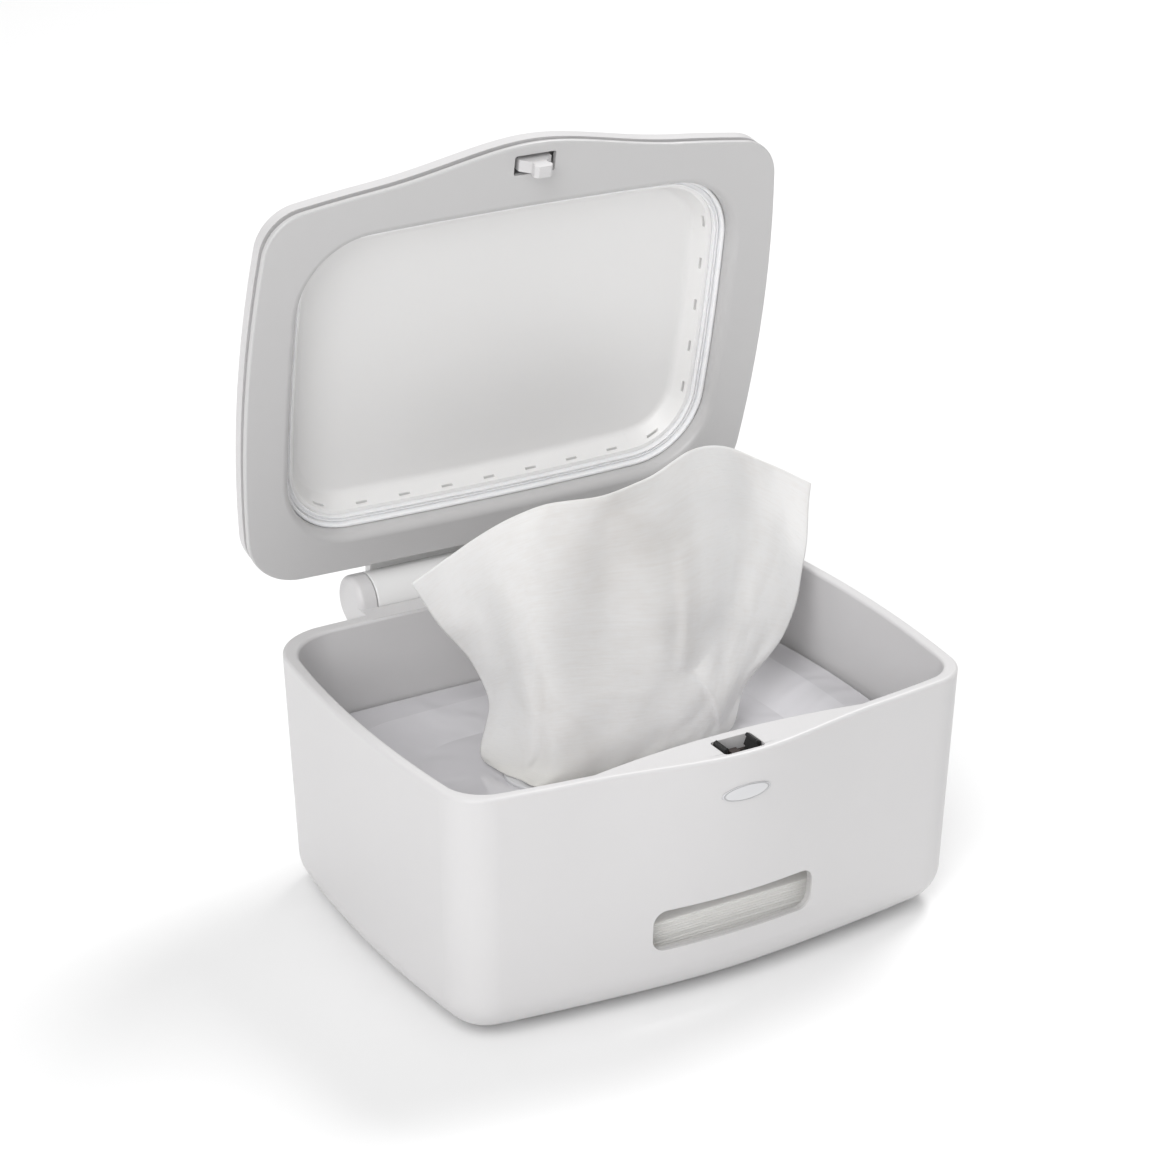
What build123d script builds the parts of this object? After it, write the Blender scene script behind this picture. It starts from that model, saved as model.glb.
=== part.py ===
from build123d import *
import os
from math import atan2, cos, pi, radians, sin, sqrt

# Wipes dispenser: a tub, a lid that stands open at its stop, a weighted plate and the wipes.
# X runs across, Y runs from the front to the hinge and Z is up, in millimetres.
# Local sizes are measured from the middle of the tub, and lid sizes as if the lid were shut.

# Tub
tub_side = 117.2
tub_front = 90.5
tub_back = 82.5
side_bow = 6.2
front_bow = 9.6
back_bow = 1.6
front_corner = 18.6
back_corner = 25.0
bump_reach = 6.8
bump_inset = 50.2
foot_height = 2.0
tub_height = 102.1
wall_draft = 2.9
base_radius = 15.8
side_wall = 4.8
front_wall = 4.4
back_wall = 6.4
thin_wall = 3.2
rim_radius = 1.3
foot_radius = 5.2
foot_edge = 0.6
foot_sink = 1.0
foot_x = 84.0
foot_front = 64.0
foot_back = 60.0

# Front window and badge place
window_width = 70.6
window_height = 17.5
window_radius = 5.5
window_mid = 33.8
pane_sink = 0.9
pane_thick = 1.9
badge_width = 21.0
badge_height = 6.6
badge_drop = 16.7
badge_proud = 0.4
badge_sink = 0.6
skin_reach = 2.0

# Hinge
open_angle = 78.92
hinge_reach = 14.5
hinge_drop = 0.4
barrel_radius = 10.8
barrel_width = 120.0
ear_gap = 0.5
ear_width = 7.7
ear_round = 2.6
pin_radius = 3.0
pin_fit = 0.05
pin_length = 13.0
pin_seat = 5.0
shelf_reach = 3.1
shelf_thick = 3.6
shelf_drop = 18.0
ear_drop = 23.4

# Land and latch
land_width = 120.0
land_reach = 14.0
land_taper = 3
front_taper = 1.8
land_bite = 0.4
land_ends = 5.9
land_depth = 24.0
land_wall = 2.0
latch_inset = 8.5
slot_corner = 1.5
slot_width = 17.6
slot_depth = 11.4
slot_height = 4.0
pocket_depth = 10.4
pocket_height = 23.0
fit = 0.1
housing_wall = 1.1
housing_drop = 5.4
jaw_width = 7.6
jaw_x = 4.4
jaw_drop = 6.1
jaw_thick = 1.6
jaw_spread = 22.0
latch_travel = 4.9
carriage_top_drop = 3.8
carriage_drop = 7.9
carriage_thick = 2.0
carriage_ends = 1.5
bar_width = 2.4
bar_top = 1.9
jaw_pin_radius = 0.8
coil_rest = 1.3
latch_coil = (2.7, 0.4, 5)

# Lid
lid_gap = 0.4
frame_thick = 2.2
shadow_gap = 2.5
shadow_depth = 5.0
collar_height = 10.5
cove_radius = 3.1
collar_edge = 0.2
frame_round = 0.9
cover_wall = 2.2
cover_band = 4.6
crown_rise = [(0, 0.2), (3.6, 3.2), (8.2, 10.4), (11.9, 20.0), (13.6, 30.0)]
post_radius = 3.4
screw_radius = 1.4
face_side = 23.5
face_front = 25.0
face_back = 20.0
ring_bow = 2.0
ring_corner = 27.0
gasket_width = 4.0
bead_width = 1.7
bead_height = 4.2
lip_height = 1.4
tray_taper = 4.0
tray_wall = 1.6
tray_floor = 1.3
vent_width = 5.0
vent_height = 1.0
vent_pitch = 19.5
lip_width = 34.0
lip_inset = 1.2
rib_thick = 1.2
rib_depth = 2.4
rib_x = 4.0
rib_inset = 1.6

# Release button and striker
opening_width = 18.0
opening_depth = 8.2
opening_corner = 1.0
button_width = 44.0
button_depth = 16.0
button_shift = 4.0
button_fit = 0.3
striker_thick = 4.8
striker_reach = 7.6
head_half = 3.9
neck_half = 3.1
gusset_half = 7.0
head_height = 2.8
flange_half = 18.0
flange_thick = 2.5

# Weighted plate and wipes
plate_z = 66.0
plate_gap = 2.0
plate_tuck = 4.0
land_clear = 1.2
notch_reach = 3.0
notch_depth = 12.0
notch_inset = 4.8
plate_edge = 2.4
dish_depth = 6.0
dish_side = 76.0
dish_front = 46.0
dish_back = 44.0
dish_slope = 21.0
dish_rear = 18.0
dish_bows = (5, 4, 3)
dish_corner = 28.0
plate_low = 47.0
slot_long = 90.0
slot_short = 26.0
slot_lip_wall = 3.0
stack_side = 90.0
stack_clear = 0.3

# Small sizes of the latch, lid, plate and wipes
end_wall = 1.2
jaw_boss = 1.6
jaw_step = 2.8
barb_slope = 0.2
barb_flat = 0.8
barb_round = 0.3
barb_thick = 1.3
guide_wall = 1.2
guide_room = 4.8
post_inset = 12.5
post_y = 28.0
front_post_x = 55.0
front_post_inset = 13.1
peg_radius = 1.3
peg_length = 1.4
tail_rise = 1.0
tail_thick = 4.2
tail_width = 112.0
tail_reach = 3.0
upstand_wall = 2.0
lip_pitch = 1.3
lip_thick = 0.5
lip_rise = 0.8
tray_depth = 7.6
tray_round = 3.0
tray_flange = 1.0
vent_rise = 1.9
vent_shift = -4.0
barrel_end = 8.0
barrel_wall = 2.2
hinge_spring_length = 70.0
damper_length = 16.0
hinge_coil = (6.9, 0.8, 8)
barrel_edge = 0.6
button_rise = 3.8
button_wall = 2.0
button_hollow = 2.2
neck_length = 2.1
head_chamfer = 1.3
screw_x = 10.5
screw_length = 3.4
screw_head = 0.9
screw_rim = 0.7
screw_room = 0.4
button_spring_x = 15.2
button_coil = (1.8, 0.3, 3)
base_thick = 2.6
plate_wall = 2.4
weight_x = 76.0
weight_width = 36.0
weight_depth = 90.0
weight_corner = 3.0
weight_thick = 6.4
lip_sheet = 1.2
stack_front = 76.0
stack_back = 70.0
stack_round = 11.0
stack_corner = 14.0
stack_top_round = 8.0
folds = 5
wipe_thick = 1.2
wipe_levels = [(0, -46, 70, 6, 5), (48.5, -66, 102, 14, 7), (114.5, -86, 108, 18, 9)]
wipe_sides = [(-78, 84.5), (-52, 44.5), (-46, 23.5), (-46, 0), (74, 0), (92, 18.5), (99, 38.5), (105, 84.5)]
wipe_top = [(105, 84.5), (88, 101.5), (66, 109.5), (36, 109.5), (6, 100.5), (-36, 100.5), (-78, 84.5)]


def reach_of(sections):
    return max(turned(tub_back - inset, z) for z, inset in sections)


def turned(y, z):
    turn = radians(open_angle)
    return hinge_y + (y - hinge_y) * cos(turn) + (z - hinge_z) * sin(turn)


rim_z = foot_height + tub_height
hinge_y = tub_back + hinge_reach
hinge_z = rim_z - hinge_drop
latch_y = latch_inset - tub_front - bump_reach
button_y = latch_y + button_shift
badge_z = rim_z - badge_drop
frame_z = rim_z + lid_gap
frame_top = frame_z + frame_thick
band_z = frame_top + shadow_gap
shoulder_z = band_z + cover_band
tail_z = band_z + tail_rise
button_low = band_z + button_rise
ring_side = tub_side - face_side
ring_front = tub_front - face_front
ring_back = tub_back - face_back
crown = [(shoulder_z + rise, inset) for rise, inset in crown_rise]
plan_y = (tub_front + bump_reach - reach_of(crown)) / 2
turn = radians(open_angle)
hinge = (0, plan_y + hinge_y, hinge_z)
tub = Plane(origin=(0, plan_y, 0))
lid_y = Vector(0, cos(turn), -sin(turn))
lid_z = Vector(0, sin(turn), cos(turn))
lid = Plane(origin=Vector(hinge) - lid_y * hinge_y - lid_z * hinge_z, x_dir=(1, 0, 0), z_dir=lid_z)
os.makedirs("parts", exist_ok=True)


def level(z, base=tub):
    """The level plane at a height."""
    return base.offset(z)


def upright(x, base=tub):
    """The plane across X, drawn in (y, z)."""
    return Plane(origin=base.from_local_coords((x, 0, 0)), x_dir=base.y_dir, z_dir=base.x_dir)


def facing(y, base=tub):
    """The plane across Y, drawn in (x, z), that looks to the front."""
    return Plane(origin=base.from_local_coords((0, y, 0)), x_dir=base.x_dir, z_dir=-base.y_dir)


def keep(part, name):
    """Label a finished piece and write it out."""
    part.label = name
    export_step(part, f"parts/{name}.step")


def outline(side, front, back, bows, corners, bump=0.0):
    """A rectangle with bowed sides and round corners, whose front may swell in the middle."""
    bow, ahead, behind = bows
    x = side - bow
    y0 = ahead - front
    y1 = back - behind
    middle = (y0 + y1) / 2
    radius = (x**2 + ahead**2) / (2 * ahead)

    def front_line(at):
        return (at, y0 - ahead + radius - sqrt(radius**2 - at**2))

    swell = tub_side - bump_inset
    slope = swell / sqrt(radius**2 - swell**2)
    between = (x + swell) / 2
    with BuildSketch() as sketch:
        with BuildLine():
            if bump > 0:
                ThreePointArc(front_line(-x), front_line(-between), front_line(-swell))
                Spline(
                    front_line(-swell), (0, y0 - ahead - bump), front_line(swell),
                    tangents=[(1, -slope), (1, slope)])
                ThreePointArc(front_line(swell), front_line(between), front_line(x))
            else:
                ThreePointArc(front_line(-x), front_line(0), front_line(x))
            ThreePointArc((x, y0), (side, middle), (x, y1))
            ThreePointArc((x, y1), (0, back), (-x, y1))
            ThreePointArc((-x, y1), (-side, middle), (-x, y0))
        make_face()
        fillet([v for v in sketch.vertices() if v.Y > y1 - 0.001], corners[1])
        fillet([v for v in sketch.vertices() if abs(v.X) > x - 0.001 and v.Y < middle], corners[0])
    return sketch.sketch


def tub_section(z, side=0.0, front=0.0, back=0.0):
    """The tub's outline at a height, drawn in by a wall on each side."""
    drop = wall_draft * (rim_z - z) / tub_height
    swell = bump_reach * (z - foot_height + 5) / (tub_height + 5)
    return outline(
        tub_side - side - drop, tub_front - front - drop, tub_back - back - drop,
        (side_bow, front_bow, back_bow), (front_corner - side / 2, back_corner - side / 2), swell)


def tub_block(low, high, inset):
    """A solid with the tub's own walls, drawn in evenly."""
    with BuildPart() as block:
        for z in (low, high):
            with BuildSketch(level(z)):
                add(tub_section(z, inset, inset, inset))
        loft(ruled=True)
    return block.part


def lid_section(inset):
    """The lid's outline, which follows the rim."""
    return outline(
        tub_side - inset, tub_front - inset, tub_back - inset, (side_bow, front_bow, back_bow),
        (front_corner - inset / 3, back_corner - inset / 3), bump_reach)


def ring_section(grow):
    """The outline of the recess in the lid."""
    return outline(
        ring_side + grow, ring_front + grow, ring_back + grow, (ring_bow, ring_bow, ring_bow),
        (ring_corner + grow, ring_corner + grow))


def ring_band(low, high, outer, inner):
    """A band round the recess between two heights."""
    with BuildPart() as band:
        with BuildSketch(level(low, lid)):
            add(ring_section(outer))
            add(ring_section(inner), mode=Mode.SUBTRACT)
        extrude(amount=high - low)
    return band.part


def window_shape(grow=0.0):
    """The window's outline, about its middle."""
    with BuildSketch() as shape:
        RectangleRounded(window_width + 2 * grow, window_height + 2 * grow, window_radius + grow)
    return shape.sketch


def badge_shape():
    """The outline of the blank badge."""
    with BuildSketch() as shape:
        Ellipse(badge_width / 2, badge_height / 2)
    return shape.sketch


def front_skin(shape, height, outer, inner):
    """The slice of the front wall behind a shape, between two depths."""
    with BuildPart() as skin:
        with BuildSketch(facing(-tub_front / 2)):
            with Locations((0, height)):
                add(shape)
        extrude(amount=tub_front)
        add(tub_block(foot_height + base_radius, rim_z, outer), mode=Mode.INTERSECT)
        add(tub_block(foot_height + base_radius, rim_z, inner), mode=Mode.SUBTRACT)
    return skin.part


def land_section(inset):
    """The lens-shaped land behind the front rim."""
    half = land_width / 2 - inset * land_taper
    inside = front_wall - tub_front - bump_reach
    back = inside + land_reach - inset
    front = inside + inset * front_taper - land_bite
    ends = land_ends - tub_front
    with BuildSketch() as sketch:
        with BuildLine():
            ThreePointArc((-half, ends), (0, front), (half, ends))
            ThreePointArc((half, ends), (0, back), (-half, ends))
        make_face()
    return sketch.sketch


def hinge_ear(side):
    """The ear that holds a hinge pin on one side, with its blind bore."""
    with BuildPart() as ear:
        with BuildSketch(upright(side * ear_in)):
            with Locations((hinge_y, hinge_z)):
                Circle(barrel_radius)
            Polygon(
                (tub_back - back_wall, rim_z), (hinge_y, rim_z),
                (hinge_y + barrel_radius * sin(pi / 5), hinge_z - barrel_radius * cos(pi / 5)),
                (tub_back - 2, rim_z - ear_drop), (tub_back - back_wall, rim_z - ear_drop), align=None)
        extrude(amount=side * ear_width)
        outside = ear.faces().sort_by(Axis.X)[-1 if side > 0 else 0]
        fillet(outside.edges().filter_by(GeomType.CIRCLE), ear_round)
        with BuildSketch(upright(side * ear_in)):
            with Locations((hinge_y, hinge_z)):
                Circle(pin_radius + pin_fit)
        extrude(amount=side * (pin_seat + pin_fit), mode=Mode.SUBTRACT)
    return ear.part


# Tub shell: drafted walls, land with the latch pocket, hinge ears and shelf
pocket_y = latch_y + (slot_depth - pocket_depth) / 2
floor_z = foot_height + thin_wall
ear_in = barrel_width / 2 + ear_gap
ear_out = ear_in + ear_width
with BuildPart() as cavity:
    with BuildSketch(level(floor_z)):
        add(tub_section(floor_z, thin_wall, thin_wall, thin_wall))
    with BuildSketch(level(rim_z)):
        add(tub_section(rim_z, side_wall, front_wall, back_wall))
    loft(ruled=True)
    fillet(cavity.faces().sort_by(Axis.Z)[0].edges(), base_radius - thin_wall)
with BuildPart() as tub_shell:
    add(tub_block(foot_height, rim_z, 0))
    fillet(tub_shell.faces().sort_by(Axis.Z)[0].edges(), base_radius)
    add(cavity.part, mode=Mode.SUBTRACT)
    fillet(tub_shell.faces().sort_by(Axis.Z)[-1].edges(), rim_radius)
    with BuildSketch(level(rim_z)):
        add(land_section(0))
    extrude(amount=-land_depth)
    with BuildSketch(level(rim_z - land_depth)):
        add(land_section(land_wall))
        with Locations((0, latch_y)):
            Rectangle(slot_width + 2 * land_wall, 2 * land_depth, mode=Mode.SUBTRACT)
    extrude(amount=land_depth - land_wall, mode=Mode.SUBTRACT)
    with BuildSketch(level(rim_z)):
        with Locations((0, latch_y)):
            RectangleRounded(slot_width, slot_depth, slot_corner)
    extrude(amount=-slot_height, mode=Mode.SUBTRACT)
    with BuildSketch(level(rim_z - slot_height + 1)):
        with Locations((0, pocket_y)):
            Rectangle(slot_width, pocket_depth)
    extrude(amount=slot_height - 1 - pocket_height, mode=Mode.SUBTRACT)
    with BuildSketch(upright(-ear_out)):
        with BuildLine():
            Polyline(
                (tub_back - back_wall, rim_z), (tub_back + shelf_reach, rim_z),
                (tub_back + shelf_reach, rim_z - shelf_thick),
                (tub_back - 2, rim_z - shelf_drop), (tub_back - back_wall, rim_z - shelf_drop),
                close=True)
        make_face()
    extrude(amount=2 * ear_out)
    add(hinge_ear(1))
    add(hinge_ear(-1))
    with BuildSketch(facing(-tub_front / 2)):
        with Locations((0, window_mid)):
            add(window_shape())
    extrude(amount=tub_front, mode=Mode.SUBTRACT)
    add(front_skin(badge_shape(), badge_z, -skin_reach, badge_sink), mode=Mode.SUBTRACT)
    with BuildSketch(level(foot_height)):
        for y in (-foot_front, foot_back):
            with Locations((-foot_x, y), (foot_x, y)):
                Circle(foot_radius)
    extrude(amount=foot_sink, mode=Mode.SUBTRACT)
keep(tub_shell.part, "tub_shell")


# Window pane, blank badge and foot pads
keep(front_skin(window_shape(), window_mid, pane_sink, pane_sink + pane_thick), "window_pane")
keep(front_skin(badge_shape(), badge_z, -badge_proud, badge_sink), "front_badge")
with BuildPart() as foot_pads:
    with BuildSketch(level(0)):
        for y in (-foot_front, foot_back):
            with Locations((-foot_x, y), (foot_x, y)):
                Circle(foot_radius - fit)
    extrude(amount=foot_height + foot_sink)
    chamfer(foot_pads.faces().group_by(Axis.Z)[0].edges(), foot_edge)
keep(foot_pads.part, "foot_pads")

# Latch housing: a cup in the pocket with an open top
jaw_z = rim_z - jaw_drop
carriage_top = rim_z - carriage_top_drop
carriage_floor = rim_z - carriage_drop
striker_tip = rim_z - striker_reach
jaw_shoulder = striker_tip + head_height + fit
housing_low = rim_z - pocket_height + fit
housing_top = rim_z - housing_drop
inner_width = slot_width - 2 * fit - 2 * housing_wall
with BuildPart() as latch_housing:
    with BuildSketch(level(housing_low)):
        with Locations((0, pocket_y)):
            Rectangle(slot_width - 2 * fit, pocket_depth - 2 * fit)
    extrude(amount=housing_top - housing_low)
    with BuildSketch(level(housing_low + housing_wall)):
        with Locations((0, pocket_y)):
            Rectangle(inner_width, jaw_width + 2 * button_fit)
    extrude(amount=housing_top - housing_low, mode=Mode.SUBTRACT)
keep(latch_housing.part, "latch_housing")

# Latch carriage: a floor with a bar up the middle and two end walls that hold the jaw pins
carriage_half = inner_width / 2 - button_fit
with BuildPart() as latch_carriage:
    with BuildSketch(level(carriage_floor - carriage_thick)):
        with Locations((0, pocket_y)):
            Rectangle(2 * carriage_half, jaw_width)
    extrude(amount=carriage_thick)
    with BuildSketch(facing(pocket_y - jaw_width / 2)):
        Polygon(
            (-bar_width, carriage_floor), (bar_width, carriage_floor), (bar_top, carriage_top),
            (-bar_top, carriage_top), align=None)
    extrude(amount=-jaw_width)
    with BuildSketch(level(carriage_floor)):
        for y in (pocket_y - jaw_width / 2 + end_wall / 2, pocket_y + jaw_width / 2 - end_wall / 2):
            with Locations((0, y)):
                Rectangle(2 * carriage_half, end_wall)
    extrude(amount=jaw_z + carriage_ends - carriage_floor)
    with BuildSketch(facing(pocket_y - jaw_width / 2)):
        with Locations((-jaw_x, jaw_z), (jaw_x, jaw_z)):
            Circle(jaw_pin_radius + pin_fit)
    extrude(amount=-jaw_width, mode=Mode.SUBTRACT)
keep(latch_carriage.part, "latch_carriage")
with BuildPart() as jaw_pins:
    with BuildSketch(facing(pocket_y - jaw_width / 2)):
        with Locations((-jaw_x, jaw_z), (jaw_x, jaw_z)):
            Circle(jaw_pin_radius)
    extrude(amount=-jaw_width)
keep(jaw_pins.part, "jaw_pins")


def jaw_plane(side, y):
    """The plane across a jaw at rest, spread outwards about its pin, with its pin at the origin."""
    tilt = radians(jaw_spread)
    middle = facing(y).from_local_coords((side * jaw_x, jaw_z, 0))
    return Plane(origin=middle, x_dir=(side * cos(tilt), 0, -sin(tilt)), z_dir=(0, -side, 0))


def jaw(side):
    """A jaw: a boss on its pin, an arm and a barb that catches the striker's head."""
    inner = head_half + button_fit - jaw_x
    outer = inner + jaw_thick
    barb = neck_half + button_fit - jaw_x
    shoulder = jaw_shoulder - jaw_z + latch_travel
    narrow = jaw_width / 2 - end_wall - fit
    with BuildPart() as piece:
        for half, low in ((narrow, 0.0), (jaw_width / 2, jaw_step)):
            with BuildSketch(jaw_plane(side, pocket_y - side * half)):
                Polygon(
                    (inner, low), (inner, shoulder - barb_slope), (barb, shoulder), (barb, shoulder + barb_flat),
                    (barb + barb_round, shoulder + barb_thick), (outer - barb_flat, shoulder + barb_thick),
                    (outer, shoulder + barb_round), (outer, low), align=None)
                if low == 0.0:
                    Circle(jaw_boss)
            extrude(amount=-2 * half)
        with BuildSketch(jaw_plane(side, pocket_y - side * narrow)):
            Circle(jaw_pin_radius + pin_fit)
        extrude(amount=-2 * narrow, mode=Mode.SUBTRACT)
    return piece.part


keep(jaw(-1), "latch_jaw_left")
keep(jaw(1), "latch_jaw_right")


def coil(base, radius, wire, turns, height):
    """A coil spring of square wire that stands on a plane."""
    rest = coil_rest * wire
    rise = height - 2 * rest
    with BuildPart() as spring:
        with BuildLine() as path:
            Helix(rise / turns, rise, radius, center=base.origin + base.z_dir * rest, direction=base.z_dir)
        with BuildSketch(Plane(origin=path.line @ 0, z_dir=path.line % 0)):
            Rectangle(2 * wire, 2 * wire)
        sweep(is_frenet=True)
    return spring.part


# Latch spring under the carriage
spring_low = housing_low + housing_wall
spring_base = Plane(level(spring_low).from_local_coords((0, pocket_y, 0)))
keep(coil(spring_base, *latch_coil, carriage_floor - carriage_thick - spring_low), "latch_spring")

# Lid cover: a band and a crown, hollow, with posts, a guide for the button and a notch for the barrel's tail


def crown_inside():
    """The crown's levels, moved in by the wall along its slope."""
    points = []
    for index, (z, inset) in enumerate(crown):
        z0, inset0 = crown[max(index - 1, 0)]
        z1, inset1 = crown[min(index + 1, len(crown) - 1)]
        slope = atan2(z1 - z0, inset1 - inset0)
        points.append((z - cover_wall * cos(slope), inset + cover_wall * sin(slope)))
    return points


def crown_solid(levels, low):
    """The solid under a crown, down to a level."""
    with BuildPart() as solid:
        for z, inset in levels:
            with BuildSketch(level(z, lid)):
                add(lid_section(inset))
        loft()
        with BuildSketch(level(low, lid)):
            add(lid_section(levels[0][1]))
        extrude(amount=levels[0][0] - low)
    return solid.part


def button_shape(grow=0.0):
    """The button's outline from above."""
    with BuildSketch() as shape:
        with Locations((0, button_y)):
            RectangleRounded(
                button_width + 2 * grow, button_depth + 2 * grow, button_depth / 2 + grow - 0.01)
    return shape.sketch


cover_outside = crown_solid(crown, band_z)
cover_inside = crown_solid(crown_inside(), band_z)
post_x = tub_side - post_inset
front_post_y = tub_front - front_post_inset
post_places = [(x, y) for x in (-post_x, post_x) for y in (-post_y, post_y)]
post_places += [(-front_post_x, -front_post_y), (front_post_x, -front_post_y)]
crown_height = crown_rise[-1][0] + cover_band + shadow_gap
with BuildPart() as cover_posts:
    with BuildSketch(level(frame_top, lid)):
        for place in post_places:
            with Locations(place):
                Circle(post_radius)
    extrude(amount=crown_height)
    with BuildSketch(level(band_z, lid)):
        add(button_shape(button_fit + guide_wall))
    extrude(amount=crown_height)
    add(crown_solid(crown, frame_top), mode=Mode.INTERSECT)
    with BuildSketch(level(frame_top, lid)):
        for place in post_places:
            with Locations(place):
                Circle(peg_radius)
    extrude(amount=-peg_length)
with BuildPart() as lid_cover:
    add(cover_outside)
    add(cover_inside, mode=Mode.SUBTRACT)
    add(cover_posts.part)
    with BuildSketch(level(band_z, lid)):
        add(button_shape(button_fit))
    extrude(amount=crown_height, mode=Mode.SUBTRACT)
    with BuildSketch(level(tail_z - fit, lid)):
        with Locations((0, tub_back)):
            Rectangle(tail_width + 2 * fit, 2 * tail_reach + 2 * fit)
    extrude(amount=tail_thick + 2 * fit, mode=Mode.SUBTRACT)
keep(lid_cover.part, "lid_cover")

# Lid frame: the face round the recess, its cove and collar, the upstand and the striker's opening
rib_y = latch_y - opening_depth / 2 - rib_inset
with BuildPart() as lid_frame:
    with BuildSketch(level(frame_z, lid)):
        add(lid_section(0))
    extrude(amount=frame_thick)
    fillet(lid_frame.faces().group_by(Axis(lid.origin, lid.z_dir))[0].edges(), frame_round)
    fillet(lid_frame.faces().group_by(Axis(lid.origin, lid.z_dir))[-1].edges(), frame_round / 2)
    with BuildSketch(level(frame_top, lid)):
        add(lid_section(shadow_depth))
        add(lid_section(shadow_depth + upstand_wall), mode=Mode.SUBTRACT)
        with Locations((0, latch_y)):
            Rectangle(button_width + 2 * guide_room, 2 * shadow_depth + slot_depth, mode=Mode.SUBTRACT)
    extrude(amount=shadow_gap + upstand_wall)
    with BuildSketch(level(frame_z, lid)):
        add(ring_section(gasket_width + cove_radius + collar_edge))
    extrude(amount=collar_height)
    with BuildSketch(level(frame_z, lid)):
        add(ring_section(gasket_width))
    extrude(amount=collar_height, mode=Mode.SUBTRACT)
    face = lid_frame.faces().group_by(Axis(lid.origin, lid.z_dir))[0].sort_by(SortBy.AREA)[-1]
    fillet(face.inner_wires()[0].edges(), cove_radius)
    with BuildSketch(level(frame_z, lid)):
        with Locations((0, latch_y)):
            RectangleRounded(opening_width, opening_depth, opening_corner)
    extrude(amount=frame_thick, mode=Mode.SUBTRACT)
    with BuildSketch(level(frame_top, lid)):
        add(lid_section(lip_inset))
        with Locations((0, latch_y - opening_depth / 2 - button_fit - tub_front)):
            Rectangle(lip_width, 2 * tub_front, mode=Mode.INTERSECT)
    extrude(amount=shadow_gap / 2)
    with BuildSketch(level(frame_top, lid)):
        with Locations((-rib_x, rib_y), (rib_x, rib_y)):
            Rectangle(rib_thick, rib_depth)
    extrude(amount=shadow_gap - fit)
    with BuildSketch(level(frame_top, lid)):
        for place in post_places:
            with Locations(place):
                Circle(peg_radius + fit)
    extrude(amount=-peg_length - fit, mode=Mode.SUBTRACT)
keep(lid_frame.part, "lid_frame")

# Gasket: a bead, a flat and two thin lips
gasket_top = frame_z + collar_height
with BuildPart() as lid_gasket:
    add(ring_band(gasket_top - bead_height, gasket_top, gasket_width - fit, gasket_width - bead_width))
    fillet(lid_gasket.faces().group_by(Axis(lid.origin, lid.z_dir))[0].edges(), bead_width * 0.4)
    add(ring_band(gasket_top - lip_height, gasket_top, gasket_width - bead_width + fit, 0))
    for grow in (0.0, lip_pitch):
        add(ring_band(gasket_top - lip_height - lip_rise, gasket_top, grow + lip_thick, grow))
keep(lid_gasket.part, "lid_gasket")

# Tray: the flange over the gasket, the tapered wall with its vents and the panel
tray_in = -bead_width
panel_z = gasket_top + tray_depth
with BuildPart() as lid_tray:
    with BuildSketch(level(gasket_top, lid)):
        add(ring_section(tray_in + tray_wall))
    with BuildSketch(level(panel_z + tray_floor, lid)):
        add(ring_section(tray_in + tray_wall - tray_taper))
    loft(ruled=True)
    fillet(lid_tray.faces().group_by(Axis(lid.origin, lid.z_dir))[-1].edges(), tray_round + tray_wall / 2)
    with BuildSketch(level(gasket_top, lid)):
        add(ring_section(gasket_width + cove_radius))
    extrude(amount=tray_flange)
tray_block = lid_tray.part
with BuildPart() as tray_hollow:
    with BuildSketch(level(gasket_top, lid)):
        add(ring_section(tray_in))
    with BuildSketch(level(panel_z, lid)):
        add(ring_section(tray_in - tray_taper))
    loft(ruled=True)
    fillet(tray_hollow.faces().group_by(Axis(lid.origin, lid.z_dir))[-1].edges(), tray_round)
with BuildPart() as lid_tray:
    add(tray_block)
    add(tray_hollow.part, mode=Mode.SUBTRACT)
    with BuildSketch(facing(ring_back / 2, lid)):
        for index in range(-4, 5):
            with Locations((index * vent_pitch, gasket_top + vent_rise)):
                Rectangle(vent_width, vent_height)
    extrude(amount=-ring_back, mode=Mode.SUBTRACT)
    with BuildSketch(upright(-ring_side - tray_wall, lid)):
        for index in range(-2, 3):
            with Locations((index * vent_pitch + vent_shift, gasket_top + vent_rise)):
                Rectangle(vent_width, vent_height)
    extrude(amount=2 * (ring_side + tray_wall), mode=Mode.SUBTRACT)
keep(lid_tray.part, "lid_tray")

# Hinge barrel with its tail, pins, spring and damper
with BuildPart() as hinge_barrel:
    with BuildSketch(upright(-barrel_width / 2, lid)):
        with Locations((hinge_y, hinge_z)):
            Circle(barrel_radius)
    extrude(amount=barrel_width)
    fillet(hinge_barrel.edges().filter_by(GeomType.CIRCLE), barrel_edge)
    with BuildSketch(level(tail_z, lid)):
        with Locations((0, (tub_back - tail_reach + hinge_y) / 2)):
            Rectangle(tail_width, hinge_y - tub_back + tail_reach)
    extrude(amount=tail_thick)
    with BuildSketch(upright(-barrel_width / 2 + barrel_end, lid)):
        with Locations((hinge_y, hinge_z)):
            Circle(barrel_radius - barrel_wall)
    extrude(amount=barrel_width - 2 * barrel_end, mode=Mode.SUBTRACT)
    with BuildSketch(upright(-barrel_width / 2, lid)):
        with Locations((hinge_y, hinge_z)):
            Circle(pin_radius + pin_fit)
    extrude(amount=barrel_width, mode=Mode.SUBTRACT)
keep(hinge_barrel.part, "hinge_barrel")
with BuildPart() as hinge_pins:
    for side in (-1, 1):
        with BuildSketch(upright(side * (ear_in + pin_seat), lid)):
            with Locations((hinge_y, hinge_z)):
                Circle(pin_radius)
        extrude(amount=-side * pin_length)
keep(hinge_pins.part, "hinge_pins")
spring_start = Plane(
    origin=upright(-barrel_width / 2 + barrel_end, lid).from_local_coords((hinge_y, hinge_z, fit)),
    x_dir=lid.y_dir, z_dir=(1, 0, 0))
keep(coil(spring_start, *hinge_coil, hinge_spring_length), "hinge_spring")
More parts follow.
